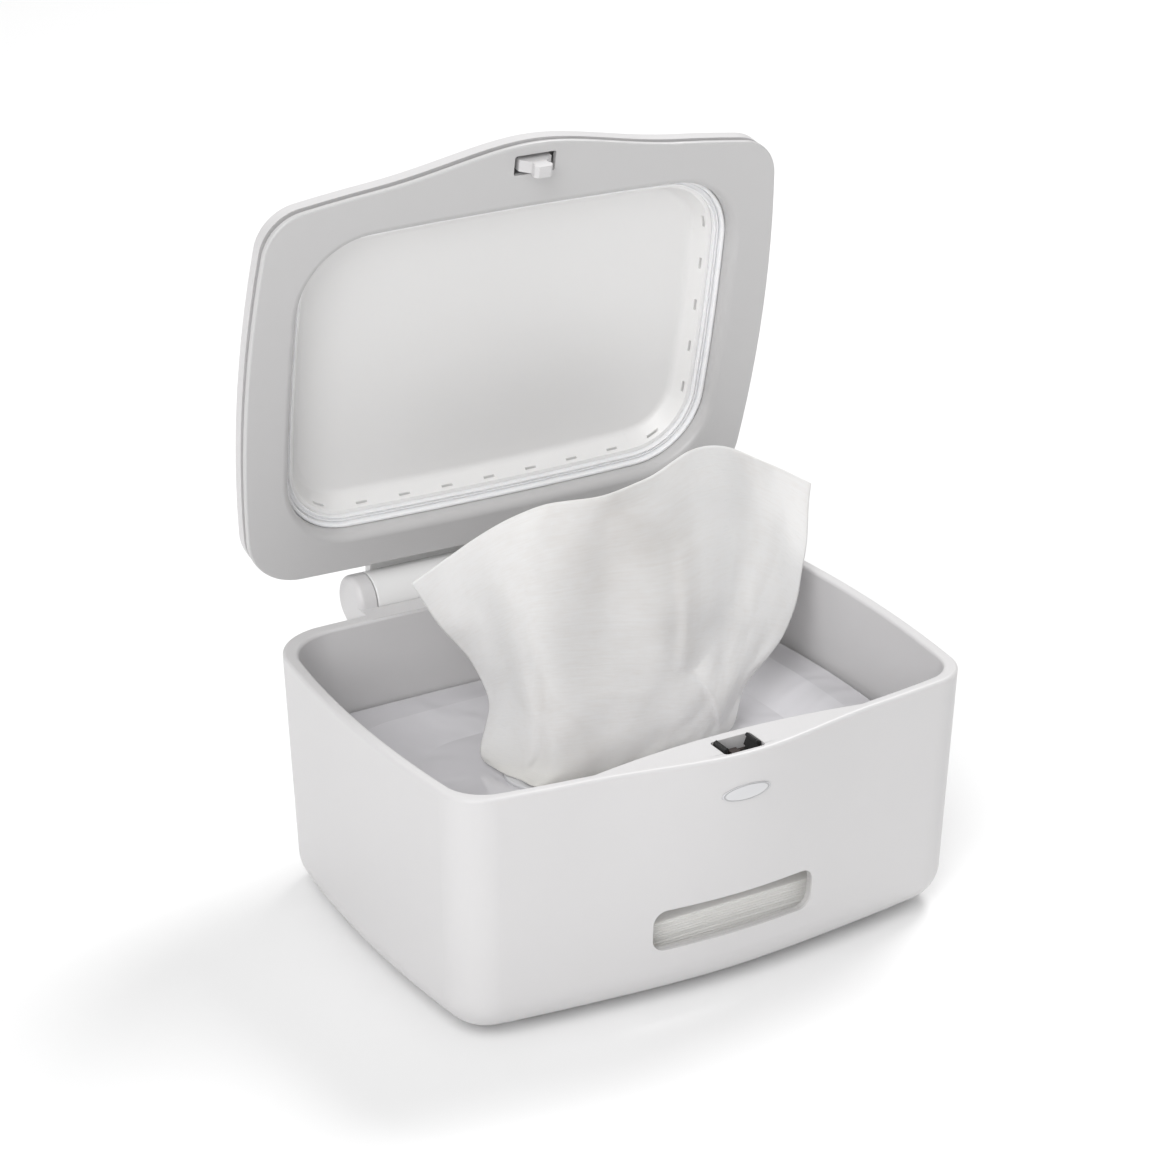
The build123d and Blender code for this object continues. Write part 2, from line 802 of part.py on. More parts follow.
with BuildPart() as hinge_damper:
    with BuildSketch(upright(barrel_width / 2 - barrel_end, lid)):
        with Locations((hinge_y, hinge_z)):
            Circle(barrel_radius - barrel_wall - fit)
    extrude(amount=-damper_length)
    with BuildSketch(upright(barrel_width / 2 - barrel_end, lid)):
        with Locations((hinge_y, hinge_z)):
            Circle(pin_radius + pin_fit)
    extrude(amount=-damper_length / 2, mode=Mode.SUBTRACT)
keep(hinge_damper.part, "hinge_damper")

# Release button, the striker under it, its screws and springs
flange_low = button_low - flange_thick
head_top = striker_tip + head_height
neck_top = head_top + neck_length
with BuildPart() as release_button:
    with BuildSketch(level(button_low, lid)):
        add(button_shape())
    extrude(amount=crown_height)
    add(cover_outside, mode=Mode.INTERSECT)
    with BuildSketch(level(button_low, lid)):
        add(button_shape(-button_wall))
        with Locations((0, latch_y)):
            Rectangle(2 * flange_half, 2 * button_depth, mode=Mode.SUBTRACT)
    extrude(amount=button_hollow, mode=Mode.SUBTRACT)
    with BuildSketch(level(button_low, lid)):
        with Locations((-screw_x, latch_y), (screw_x, latch_y)):
            Circle(screw_radius + pin_fit)
    extrude(amount=screw_length, mode=Mode.SUBTRACT)
keep(release_button.part, "release_button")
with BuildPart() as striker:
    with BuildSketch(facing(latch_y - striker_thick / 2, lid)):
        Polygon(
            (head_chamfer - head_half, striker_tip), (head_half - head_chamfer, striker_tip),
            (head_half, striker_tip + head_chamfer), (head_half, head_top), (neck_half, head_top),
            (neck_half, neck_top), (gusset_half, frame_z), (gusset_half, flange_low), (flange_half, flange_low),
            (flange_half, button_low), (-flange_half, button_low), (-flange_half, flange_low),
            (-gusset_half, flange_low), (-gusset_half, frame_z), (-neck_half, neck_top),
            (-neck_half, head_top), (-head_half, head_top), (-head_half, striker_tip + head_chamfer),
            align=None)
    extrude(amount=-striker_thick)
    with BuildSketch(level(flange_low, lid)):
        with Locations((-screw_x, latch_y), (screw_x, latch_y)):
            Circle(screw_radius + pin_fit)
    extrude(amount=flange_thick, mode=Mode.SUBTRACT)
keep(striker.part, "striker")
with BuildPart() as striker_screws:
    for x in (-screw_x, screw_x):
        with BuildSketch(level(flange_low, lid)):
            with Locations((x, latch_y)):
                Circle(screw_radius)
        extrude(amount=flange_thick + screw_length - screw_room)
        with BuildSketch(level(flange_low, lid)):
            with Locations((x, latch_y)):
                Circle(screw_radius + screw_rim)
        extrude(amount=-screw_head)
keep(striker_screws.part, "striker_screws")
with BuildPart() as button_springs:
    for x in (-button_spring_x, button_spring_x):
        spring_foot = Plane(level(frame_top, lid).from_local_coords((x, latch_y, pin_fit)), z_dir=lid.z_dir)
        add(coil(spring_foot, *button_coil, flange_low - frame_top - 2 * pin_fit))
keep(button_springs.part, "button_springs")

# Weighted plate: a dished cover over two steel weights, closed by a base, with a soft lip at its slot


def plate_section(inset):
    """The plate's outline, which follows the walls and clears the land."""
    drop = wall_draft + thin_wall + plate_gap + inset
    with BuildSketch() as sketch:
        add(outline(
            tub_side - drop, tub_front - drop, tub_back - drop + plate_gap / 2,
            (side_bow, front_bow, back_bow), (front_corner - plate_tuck, back_corner - plate_tuck)))
        add(land_section(-land_clear - inset), mode=Mode.SUBTRACT)
        with Locations((0, -tub_front - notch_reach)):
            Rectangle(land_width - notch_inset, 2 * notch_depth, mode=Mode.SUBTRACT)
    return sketch.sketch


def slot_shape(grow):
    """The plate's oblong slot."""
    with BuildSketch() as shape:
        RectangleRounded(slot_long + 2 * grow, slot_short + 2 * grow, slot_short / 2 + grow - 0.01)
    return shape.sketch


plate_floor = plate_z - dish_depth
base_top = plate_low + base_thick
with BuildPart() as plate_cover:
    with BuildSketch(level(base_top)):
        add(plate_section(0))
    extrude(amount=plate_z - base_top)
    with BuildSketch(level(plate_z)):
        add(outline(
            dish_side + dish_slope, dish_front + dish_slope, dish_back + dish_rear, dish_bows,
            (dish_corner, dish_corner)))
    with BuildSketch(level(plate_floor)):
        add(outline(dish_side, dish_front, dish_back, dish_bows, (dish_corner, dish_corner)))
    loft(ruled=True, mode=Mode.SUBTRACT)
    with BuildSketch(level(base_top)):
        add(plate_section(plate_wall))
        add(slot_shape(plate_wall), mode=Mode.SUBTRACT)
    extrude(amount=plate_floor - plate_wall - base_top, mode=Mode.SUBTRACT)
    with BuildSketch(level(base_top)):
        add(slot_shape(0))
    extrude(amount=plate_z, mode=Mode.SUBTRACT)
keep(plate_cover.part, "plate_cover")
with BuildPart() as plate_base:
    with BuildSketch(level(plate_low)):
        add(plate_section(0))
        add(slot_shape(0), mode=Mode.SUBTRACT)
    extrude(amount=base_thick)
    fillet(plate_base.faces().sort_by(Axis.Z)[0].outer_wire().edges(), base_thick * 0.4)
keep(plate_base.part, "plate_base")
with BuildPart() as plate_weights:
    with BuildSketch(level(base_top)):
        with Locations((-weight_x, 0), (weight_x, 0)):
            RectangleRounded(weight_width, weight_depth, weight_corner)
    extrude(amount=weight_thick)
keep(plate_weights.part, "plate_weights")
with BuildPart() as slot_lip:
    with BuildSketch(level(plate_floor)):
        add(slot_shape(slot_lip_wall))
        add(slot_shape(-slot_lip_wall), mode=Mode.SUBTRACT)
    extrude(amount=lip_sheet)
    fillet(slot_lip.faces().sort_by(Axis.Z)[-1].edges(), lip_sheet * 0.4)
    with BuildSketch(level(plate_floor)):
        add(slot_shape(-fit))
        add(slot_shape(-slot_lip_wall / 2), mode=Mode.SUBTRACT)
    extrude(amount=-plate_wall)
keep(slot_lip.part, "slot_lip")

# Wipes: the folded stack, and the sheet that is pulled up through the slot
stack_low = foot_height + thin_wall + stack_clear
with BuildPart() as wipes_stack:
    with BuildSketch(level(stack_low)):
        with Locations((0, (stack_back - stack_front) / 2)):
            RectangleRounded(2 * stack_side, stack_front + stack_back, stack_corner)
    extrude(amount=plate_low - stack_clear - stack_low)
    fillet(wipes_stack.faces().sort_by(Axis.Z)[0].edges(), stack_round)
    fillet(wipes_stack.faces().sort_by(Axis.Z)[-1].edges(), stack_top_round)
keep(wipes_stack.part, "wipes_stack")


def fold_section(left, right, middle, sway, thick):
    """A folded sheet's cut: arcs that swing front and back, one line behind the other."""
    step = (right - left) / folds
    with BuildSketch() as section:
        with BuildLine():
            for index in range(folds):
                x = left + index * step
                swing = sway if index % 2 else -sway
                ThreePointArc((x, middle), (x + step / 2, middle + swing), (x + step, middle))
            Line((right, middle), (right, middle + thick))
            for index in reversed(range(folds)):
                x = left + index * step
                swing = sway if index % 2 else -sway
                ThreePointArc(
                    (x + step, middle + thick), (x + step / 2, middle + swing + thick), (x, middle + thick))
            Line((left, middle + thick), (left, middle))
        make_face()
    return section.sketch


wipe_low = plate_floor + lip_sheet + stack_clear
with BuildPart() as pulled_wipe:
    for rise, left, right, middle, sway in wipe_levels:
        with BuildSketch(level(wipe_low + rise)):
            add(fold_section(left, right, middle, sway, wipe_thick))
    loft(ruled=True)
    with BuildSketch(facing(-tub_front, level(wipe_low))):
        with BuildLine():
            Polyline(wipe_sides)
            for index in (0, 2, 4):
                ThreePointArc(*wipe_top[index:index + 3])
        make_face()
    extrude(amount=-2 * tub_front, mode=Mode.INTERSECT)
keep(pulled_wipe.part, "pulled_wipe")
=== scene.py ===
"""Looks of the wipes dispenser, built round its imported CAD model, in metres and in the same frame."""
import logging
import math
from dataclasses import dataclass, field
from enum import Enum

import bpy
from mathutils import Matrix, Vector, noise


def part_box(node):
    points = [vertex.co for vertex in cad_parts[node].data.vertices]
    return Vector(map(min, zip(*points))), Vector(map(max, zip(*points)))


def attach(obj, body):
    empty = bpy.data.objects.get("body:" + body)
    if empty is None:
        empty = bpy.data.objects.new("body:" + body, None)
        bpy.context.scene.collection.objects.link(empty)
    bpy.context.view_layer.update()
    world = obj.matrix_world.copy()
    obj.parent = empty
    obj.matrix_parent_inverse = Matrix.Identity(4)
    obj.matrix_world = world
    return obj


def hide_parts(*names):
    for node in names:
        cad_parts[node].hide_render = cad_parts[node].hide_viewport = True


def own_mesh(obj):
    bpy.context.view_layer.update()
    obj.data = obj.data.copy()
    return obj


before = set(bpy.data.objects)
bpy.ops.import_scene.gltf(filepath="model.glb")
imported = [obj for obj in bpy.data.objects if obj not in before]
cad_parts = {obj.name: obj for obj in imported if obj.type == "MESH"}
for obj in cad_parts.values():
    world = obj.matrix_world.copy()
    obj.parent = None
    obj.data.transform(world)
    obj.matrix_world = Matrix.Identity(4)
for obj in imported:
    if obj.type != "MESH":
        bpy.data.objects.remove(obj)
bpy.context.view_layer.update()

log = logging.getLogger("wipes_dispenser")
Number = float | int
Triple = tuple[float, float, float]
MM = 0.001
SQUARE_CM = 0.0001
CLOUD_MEAN = 0.5
LEAST_ROUGHNESS = 0.02
COAT_ROUGHNESS = 0.05
GLOW_RADIUS = (1.0, 0.95, 0.9)


class Form(Enum):
    """How a finish is made up."""

    MOULDED = "moulded"
    CLEAR = "clear"
    CLOTH = "cloth"
    BADGE = "badge"


class Value:
    """A shader socket that takes part in maths, so that an expression adds its own Math nodes."""

    def __init__(self, shader: "Shader", socket: bpy.types.NodeSocket) -> None:
        """Keep the socket and the shader that it belongs to."""
        self.shader = shader
        self.socket = socket

    def maths(self, operation: str, *terms: "Value | Number") -> "Value":
        """Add one Math node.

        Args:
            operation: The node's operation.
            terms: Its inputs in order, sockets or numbers.

        Returns:
            The node's result.
        """
        return self.shader.node("ShaderNodeMath", {"operation": operation}, dict(enumerate(terms)))

    def __add__(self, other: "Value | Number") -> "Value":
        """Self plus other."""
        return self.maths("ADD", self, other)

    def __radd__(self, other: Number) -> "Value":
        """Other plus self."""
        return self.maths("ADD", other, self)

    def __sub__(self, other: "Value | Number") -> "Value":
        """Self minus other."""
        return self.maths("SUBTRACT", self, other)

    def __rsub__(self, other: Number) -> "Value":
        """Other minus self."""
        return self.maths("SUBTRACT", other, self)

    def __mul__(self, other: "Value | Number") -> "Value":
        """Self times other."""
        return self.maths("MULTIPLY", self, other)

    def __rmul__(self, other: Number) -> "Value":
        """Other times self."""
        return self.maths("MULTIPLY", other, self)

    def __truediv__(self, other: "Value | Number") -> "Value":
        """Self divided by other."""
        return self.maths("DIVIDE", self, other)

    def __rtruediv__(self, other: Number) -> "Value":
        """Other divided by self."""
        return self.maths("DIVIDE", other, self)

    def __pow__(self, other: "Value | Number") -> "Value":
        """Self to the power of other."""
        return self.maths("POWER", self, other)

    def __rpow__(self, other: Number) -> "Value":
        """Other to the power of self."""
        return self.maths("POWER", other, self)

    def __abs__(self) -> "Value":
        """Self without its sign."""
        return self.maths("ABSOLUTE", self)

    def clamped(self, low: Number, high: Number) -> "Value":
        """Self held between two numbers."""
        return self.maths("MINIMUM", self.maths("MAXIMUM", self, low), high)


@dataclass(frozen=True)
class Cloud:
    """A soft pattern of lumps.

    Attributes:
        scale: Lumps in a metre.
        detail: How many finer layers it has.
        stretch: What the place is multiplied by on each axis; a small number draws the lumps out along it.
        swirl: How far it swirls.
    """

    scale: float
    detail: float = 2.0
    stretch: Triple | None = None
    swirl: float = 0.0


class Shader:
    """The node tree of one material."""

    def __init__(self, name: str, frame_of: str = "Object") -> None:
        """Start a material with its Principled shader and the place that its patterns are read at.

        Args:
            name: The material's name.
            frame_of: The output of the coordinates that gives the place.
        """
        self.material = bpy.data.materials.new(name)
        self.material.use_nodes = True
        self.tree = self.material.node_tree
        self.surface = next(n for n in self.tree.nodes if n.type == "BSDF_PRINCIPLED")
        self.place = self.node("ShaderNodeTexCoord", {}, {}, frame_of)

    def node(
        self, kind: str, settings: dict[str, object], inputs: dict[str | int, object], output: str | int = 0
    ) -> Value:
        """Add one node.

        Args:
            kind: The node's type.
            settings: Its own properties, set before its sockets.
            inputs: What its sockets hold or are linked from, by name or number.
            output: The socket that is wanted.

        Returns:
            That output as a value.
        """
        made = self.tree.nodes.new(kind)
        for key, setting in settings.items():
            setattr(made, key, setting)
        for key, given in inputs.items():
            if isinstance(given, Value):
                self.tree.links.new(given.socket, made.inputs[key])
            else:
                made.inputs[key].default_value = given
        return Value(self, made.outputs[output])

    def stretched(self, scale: Triple) -> Value:
        """The place, multiplied on each axis."""
        return self.node("ShaderNodeVectorMath", {"operation": "MULTIPLY"}, {0: self.place, 1: scale})

    def part(self, axis: str) -> Value:
        """One coordinate of the place."""
        return self.node("ShaderNodeSeparateXYZ", {}, {0: self.place}, axis)

    def cloud(self, pattern: Cloud) -> Value:
        """A pattern as a value between 0 and 1.

        Args:
            pattern: The pattern.

        Returns:
            Its value at each place.
        """
        inputs: dict[str | int, object] = {
            "Vector": self.stretched(pattern.stretch) if pattern.stretch else self.place,
            "Scale": pattern.scale, "Detail": pattern.detail, "Distortion": pattern.swirl}
        return self.node("ShaderNodeTexNoise", {}, inputs, "Fac")

    def blend(self, share: Value, low: Value | Triple, high: Triple) -> Value:
        """A colour between two colours."""
        start = low if isinstance(low, Value) else (*low, 1.0)
        return self.node("ShaderNodeMix", {"data_type": "RGBA"}, {0: share, 6: start, 7: (*high, 1.0)}, 2)

    def rounded(self, radius: float) -> Value:
        """The normal with sharp edges eased by a small radius."""
        return self.node("ShaderNodeBevel", {"samples": 4}, {"Radius": radius})

    def bump(self, height: Value, depth: float, base: Value | None = None) -> Value:
        """A normal from a height between 0 and 1.

        Args:
            height: The height.
            depth: What a height of 1 stands for, in metres.
            base: The normal that it is laid on, if it isn't the surface's own.

        Returns:
            The normal.
        """
        inputs: dict[str | int, object] = {"Height": height, "Distance": depth, "Strength": 1.0}
        if base:
            inputs["Normal"] = base
        return self.node("ShaderNodeBump", {}, inputs)

    def feed(self, socket: str, value: Value | Number | Triple) -> None:
        """Link or set one socket of the surface.

        Args:
            socket: The socket's name.
            value: A value to link, a number or a colour.
        """
        target = self.surface.inputs[socket]
        if isinstance(value, Value):
            self.tree.links.new(value.socket, target)
        elif isinstance(value, tuple):
            target.default_value = (*value, 1.0)
        else:
            target.default_value = value


@dataclass(frozen=True)
class Moulding:
    """A moulded or drawn surface: slow drift of colour, fine grain, traces of flow and soft edges.

    Attributes:
        drift: The drift of its colour.
        flow: The traces of flow.
        grain_rough: How much the grain changes the roughness.
        flow_rough: How much the flow changes it.
        grain_share: The grain's share of the relief; the flow has the rest.
    """

    drift: Cloud = Cloud(14.0, 3.0)
    flow: Cloud = Cloud(60.0, 2.0, (1.0, 1.0, 0.25), 0.4)
    grain_rough: float = 0.05
    flow_rough: float = 0.03
    grain_share: float = 0.7

    def lay(self, shader: Shader, finish: "Finish") -> None:
        """Lay it on a material.

        Args:
            shader: The material's shader.
            finish: The finish that it belongs to.
        """
        drift = shader.cloud(self.drift)
        fine = shader.cloud(Cloud(finish.grain))
        flow = shader.cloud(self.flow)
        darker, paler = finish.shaded(-finish.mottle), finish.shaded(finish.mottle)
        shader.feed("Base Color", shader.blend(drift, darker, paler))
        smooth = finish.rough - (self.grain_rough + self.flow_rough) * CLOUD_MEAN
        rough = smooth + fine * self.grain_rough + flow * self.flow_rough
        shader.feed("Roughness", rough.clamped(LEAST_ROUGHNESS, 1.0))
        normal = shader.rounded(finish.edge) if finish.edge else None
        if finish.wave:
            normal = shader.bump(shader.cloud(finish.wave), finish.wave_depth, normal)
        relief = fine * self.grain_share + flow * (1.0 - self.grain_share)
        shader.feed("Normal", shader.bump(relief, finish.grain_depth, normal))


@dataclass(frozen=True)
class OvalLine:
    """A blank oval with a fine line round it.

    Attributes:
        reach: Where the line runs, as the square of its share of the way out.
        narrow: How narrow it is: one over half its width, in the same measure.
        dark: How much darker it is, as a share.
        relief: What a height of 1 stands for, in metres.
        cut: The line's depth as a share of that.
        grain_rough: How much the grain adds to the roughness.
    """

    reach: float = 0.84
    narrow: float = 9.0
    dark: float = 0.42
    relief: float = 0.0002
    cut: float = 0.8
    grain_rough: float = 0.04

    def lay(self, shader: Shader, finish: "Finish") -> None:
        """Lay it on a material.

        Args:
            shader: The material's shader.
            finish: The finish that it belongs to.
        """
        low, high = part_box("front_badge")
        half_x, half_z = (high.x - low.x) / 2, (high.z - low.z) / 2
        across = (shader.part("X") - (low.x + high.x) / 2) / half_x
        along = (shader.part("Z") - (low.z + high.z) / 2) / half_z
        away = abs(across**2.0 + along**2.0 - self.reach)
        line = (1.0 - away * self.narrow).clamped(0.0, 1.0)
        fine = shader.cloud(Cloud(finish.grain))
        shader.feed("Base Color", shader.blend(line, finish.colour, finish.shaded(-self.dark)))
        shader.feed("Roughness", (finish.rough + fine * self.grain_rough).clamped(LEAST_ROUGHNESS, 1.0))
        shader.feed("Normal", shader.bump(1.0 - line * self.cut, self.relief, shader.rounded(finish.edge)))


@dataclass(frozen=True)
class Weave:
    """A moist non-woven cloth: fibres that run across, felted lumps, wet patches that show through, and a
    middle band darkened with painted shade.

    Attributes:
        fibres: Its fine fibres.
        strands: Its loose strands.
        lumps: Its felted lumps.
        fibre_share: The fibres' share of the web.
        strand_share: The strands' share.
        lump_share: The lumps' share.
        patches: Its wet patches.
        patch_level: How high the pattern is where a patch begins.
        patch_edge: How sharp its edge is.
        patch_wet: How wet a patch is.
        middle: Where the middle band lies across the flat cloth, in metres; its darkening is painted shade
            of the dark gap seen through the sheet.
        middle_fade: How fast the band fades to the sides, over a metre.
        middle_shade_and_wet: How strongly the band is darkened with painted shade, and made glossier and
            thinner like wet cloth.
        foot_fade: How fast the creamy foot fades upwards, over a metre.
        foot_cream: How creamy the foot is.
        damp_and_shade_tint: The tint of wet cloth, also used as the painted shade of the middle band.
        cream: The tint of the foot.
        pale: How much paler dry cloth is, as a share.
        wet_and_shade_tone: How far the wet patches and the painted shade of the middle band turn the cloth
            to that tint.
        dry_tone: How far dry cloth is turned to it.
        dry_rough: What dry cloth adds to the roughness.
        wet_gloss: What wetness takes off it.
        web_rough: What the web adds to it.
        web_thin: How much the web changes how thick the cloth looks.
        wet_thin: How much thinner it looks where it is wet.
        smoothest: Its least roughness.
        sheen: The weight of its sheen.
        sheen_rough: The roughness of its sheen.
    """

    fibres: Cloud = Cloud(1100.0, 3.0, (0.08, 1.0, 1.0), 0.4)
    strands: Cloud = Cloud(420.0, 4.0, (0.22, 1.0, 1.0), 1.6)
    lumps: Cloud = Cloud(260.0, 3.0)
    fibre_share: float = 0.5
    strand_share: float = 0.3
    lump_share: float = 0.2
    patches: Cloud = Cloud(21.0, 3.0, (1.0, 0.7, 1.0), 0.7)
    patch_level: float = 0.46
    patch_edge: float = 4.0
    patch_wet: float = 0.6
    middle: float = 0.085
    middle_fade: float = 15.0
    middle_shade_and_wet: float = 0.4
    foot_fade: float = 26.0
    foot_cream: float = 0.8
    damp_and_shade_tint: Triple = (0.84, 0.82, 0.80)
    cream: Triple = (0.92, 0.91, 0.86)
    pale: float = 0.02
    wet_and_shade_tone: float = 0.9
    dry_tone: float = 0.05
    dry_rough: float = 0.06
    wet_gloss: float = 0.16
    web_rough: float = 0.08
    web_thin: float = 0.3
    wet_thin: float = 0.04
    smoothest: float = 0.2
    sheen: float = 0.15
    sheen_rough: float = 0.5

    def lay(self, shader: Shader, finish: "Finish") -> None:
        """Lay it on a material.

        Args:
            shader: The material's shader.
            finish: The finish that it belongs to.
        """
        fibres, strands, lumps = (shader.cloud(part) for part in (self.fibres, self.strands, self.lumps))
        web = fibres * self.fibre_share + strands * self.strand_share + lumps * self.lump_share
        patch = ((shader.cloud(self.patches) - self.patch_level) * self.patch_edge).clamped(0.0, 1.0)
        # Painted shade: a darker band down the middle of the sheet, where the dark gap behind shows through;
        # it is added to the wet patches below.
        middle = (1.0 - ((shader.part("X") - self.middle) * self.middle_fade) ** 2.0).clamped(0.0, 1.0)
        foot = (1.0 - shader.part("Y") * self.foot_fade).clamped(0.0, 1.0)
        wet = (patch * self.patch_wet + middle * self.middle_shade_and_wet).clamped(0.0, 1.0)
        tone = (wet * self.wet_and_shade_tone + (web - CLOUD_MEAN) * finish.streaks + self.dry_tone).clamped(0.0, 1.0)
        body = shader.blend(tone, finish.shaded(self.pale), finish.tinted(self.damp_and_shade_tint))
        shader.feed("Base Color", shader.blend(foot * self.foot_cream, body, finish.tinted(self.cream)))
        rough = finish.rough + self.dry_rough - wet * self.wet_gloss + web * self.web_rough
        shader.feed("Roughness", rough.clamped(self.smoothest, 1.0))
        thick = finish.alpha + (web - CLOUD_MEAN) * self.web_thin - wet * self.wet_thin
        shader.feed("Alpha", thick.clamped(0.0, 1.0))
        shader.feed("Normal", shader.bump(web, finish.grain_depth))
        shader.feed("Sheen Weight", self.sheen)
        shader.feed("Sheen Roughness", self.sheen_rough)


@dataclass(frozen=True)
class Finish:
    """What one material looks like close to.

    Attributes:
        name: The material's name.
        slot: The record's material slot; not used.
        colour: Its colour.
        rough: Its roughness.
        grain: Grains in a metre.
        grain_depth: The grain's depth in metres.
        mottle: How far its colour drifts, as a share.
        wave: Its slow waves, if it has them.
        wave_depth: Their depth in metres.
        metal: How metallic it is.
        coat: The weight of its gloss.
        form: How it is made up.
        glow: Its subsurface weight.
        glow_reach: How far light goes in, in metres.
        alpha: How much of it is there.
        streaks: How clearly its fibres show.
        edge: The radius that eases its sharp edges.
    """

    name: str
    slot: str
    colour: Triple
    rough: float
    grain: float = 2600.0
    grain_depth: float = 0.000010
    mottle: float = 0.015
    wave: Cloud | None = None
    wave_depth: float = 0.0
    metal: float = 0.0
    coat: float = 0.0
    form: Form = Form.MOULDED
    glow: float = 0.0
    glow_reach: float = 0.002
    alpha: float = 1.0
    streaks: float = 2.6
    edge: float = 0.0004

    def shaded(self, share: float) -> Triple:
        """The colour, made lighter or darker by a share."""
        return tuple(min(1.0, part * (1.0 + share)) for part in self.colour)

    def tinted(self, tint: Triple) -> Triple:
        """The colour, multiplied by a tint."""
        return tuple(part * share for part, share in zip(self.colour, tint))

    def material(self) -> bpy.types.Material:
        """The material, made once.

        Returns:
            The material with its nodes.
        """
        found = bpy.data.materials.get(self.name)
        if found:
            return found
        shader = Shader(self.name, "UV" if self.form is Form.CLOTH else "Object")
        makes = {Form.CLOTH: Weave(), Form.BADGE: OvalLine()}
        makes.get(self.form, Moulding()).lay(shader, self)
        shader.feed("Metallic", self.metal)
        shader.feed("Coat Weight", self.coat)
        shader.feed("Coat Roughness", COAT_ROUGHNESS)
        shader.feed("Subsurface Weight", self.glow)
        shader.feed("Subsurface Scale", self.glow_reach)
        shader.surface.inputs["Subsurface Radius"].default_value = GLOW_RADIUS
        if self.form is Form.CLEAR:
            shader.feed("Alpha", self.alpha)
        return shader.material


WHITE = Finish(
    "satin_white_plastic", "white_plastic", (0.615, 0.607, 0.61), 0.38, glow=0.1, glow_reach=0.003)
# Painted shade: the lid frame wears a darker copy of the same white plastic, for the shade on the lid's
# face.
SHADED_FACE = Finish("smooth_face_plastic_shaded", "face_plastic", (0.535, 0.53, 0.53), 0.32, edge=0.0002)
# Painted light: the lid tray wears a much paler copy of the same white plastic, for the light in the lid's
# recess.
LIT_TRAY = Finish(
    "lit_pale_tray_plastic", "face_plastic", (0.84, 0.833, 0.825), 0.36, glow=0.15, glow_reach=0.004, edge=0.0)
# Painted light: the hinge barrel wears a paler copy of the same white plastic, for the light from above; its
# gloss is its own.
LIT_GLOSS = Finish("lit_glossy_hinge_plastic", "white_plastic", (0.77, 0.768, 0.765), 0.22, coat=0.3)
PLATE = Finish(
    "glossy_plate_plastic", "plate_plastic", (0.605, 0.597, 0.62), 0.06, coat=1.0,
    wave=Cloud(30.0, 1.0, (1.0, 1.0, 0.4), 0.8), wave_depth=0.004)
# Painted light: the gasket, soft grey in the record, is coloured near white with a strong subsurface glow,
# to cancel the shade in its grooves.
LIT_SEAL = Finish(
    "lit_pale_seal", "soft_grey", (0.97, 0.97, 0.98), 0.42, grain=3400.0, grain_depth=0.000001, glow=0.6,
    glow_reach=0.003, edge=0.0)
LIP = Finish("pale_slot_lip", "soft_grey", (0.66, 0.66, 0.67), 0.4, grain=3400.0)
FOOT = Finish("clear_foot", "soft_clear", (0.66, 0.665, 0.67), 0.3, glow=0.3)
WINDOW = Finish(
    "window_plastic", "clear_window", (0.80, 0.78, 0.74), 0.10, form=Form.CLEAR, grain_depth=0.000002,
    alpha=0.12)
BLACK = Finish("black_latch_plastic", "black_plastic", (0.010, 0.010, 0.010), 0.36, edge=0.0002)
BROWN = Finish("brown_black_plastic", "brown_plastic", (0.03, 0.02, 0.017), 0.38, edge=0.0002)
SPRING = Finish(
    "spring_steel", "spring_steel", (0.55, 0.55, 0.55), 0.24, metal=1.0, mottle=0.05, edge=0.0001)
WEIGHT = Finish("coated_steel", "weight_steel", (0.35, 0.36, 0.37), 0.5, metal=0.6, mottle=0.05)
BADGE = Finish("blank_badge", "badge_plastic", (0.63, 0.63, 0.645), 0.24, coat=0.3, form=Form.BADGE)
CLOTH = Finish(
    "moist_cloth", "wipe_cloth", (0.775, 0.770, 0.765), 0.6, grain_depth=0.00012, form=Form.CLOTH,
    glow=0.25, glow_reach=0.002, alpha=0.95)
# Painted light: the folded wipes are the same cloth as the pulled sheet but much paler, for the light that
# reaches them through the window and the tub's walls.
LIT_FOLDED = Finish(
    "lit_folded_cloth", "wipe_cloth", (0.97, 0.965, 0.95), 0.7, grain_depth=0.00003, form=Form.CLOTH,
    glow=0.3, glow_reach=0.004, alpha=1.2, streaks=0.4)


def dress(piece: bpy.types.Object, finish: Finish) -> None:
    """Give a piece one finish all over.

    Args:
        piece: A mesh or a curve.
        finish: Its finish.
    """
    piece.data.materials.clear()
    piece.data.materials.append(finish.material())


@dataclass
class Assembly:
    """A group of CAD nodes that keep their shape, with the finish of each."""

    title: str
    finishes: dict[str, Finish]

    def dress(self) -> None:
        """Give every node its finish."""
        for name, finish in self.finishes.items():
            dress(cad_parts[name], finish)
            log.info("%s: %s wears %s", self.title, name, finish.name)


@dataclass
class Tub(Assembly):
    """The tub with its window, badge and feet."""

    title: str = "tub"
    finishes: dict[str, Finish] = field(default_factory=lambda: {
        "tub_shell": WHITE, "window_pane": WINDOW, "front_badge": BADGE, "foot_pads": FOOT})


@dataclass
class Latch(Assembly):
    """The push latch in the front land."""

    title: str = "latch"
    finishes: dict[str, Finish] = field(default_factory=lambda: {
        "latch_housing": BLACK, "latch_jaw_left": BLACK, "latch_jaw_right": BLACK, "latch_carriage": BROWN,
        "jaw_pins": SPRING, "latch_spring": SPRING})


@dataclass
class Lid(Assembly):
    """The lid with its face, seal, recess and hinge."""

    title: str = "lid"
    finishes: dict[str, Finish] = field(default_factory=lambda: {
        "lid_cover": WHITE, "lid_frame": SHADED_FACE, "lid_gasket": LIT_SEAL, "lid_tray": LIT_TRAY, "hinge_barrel": LIT_GLOSS,
        "hinge_pins": SPRING, "hinge_spring": SPRING, "hinge_damper": BLACK})


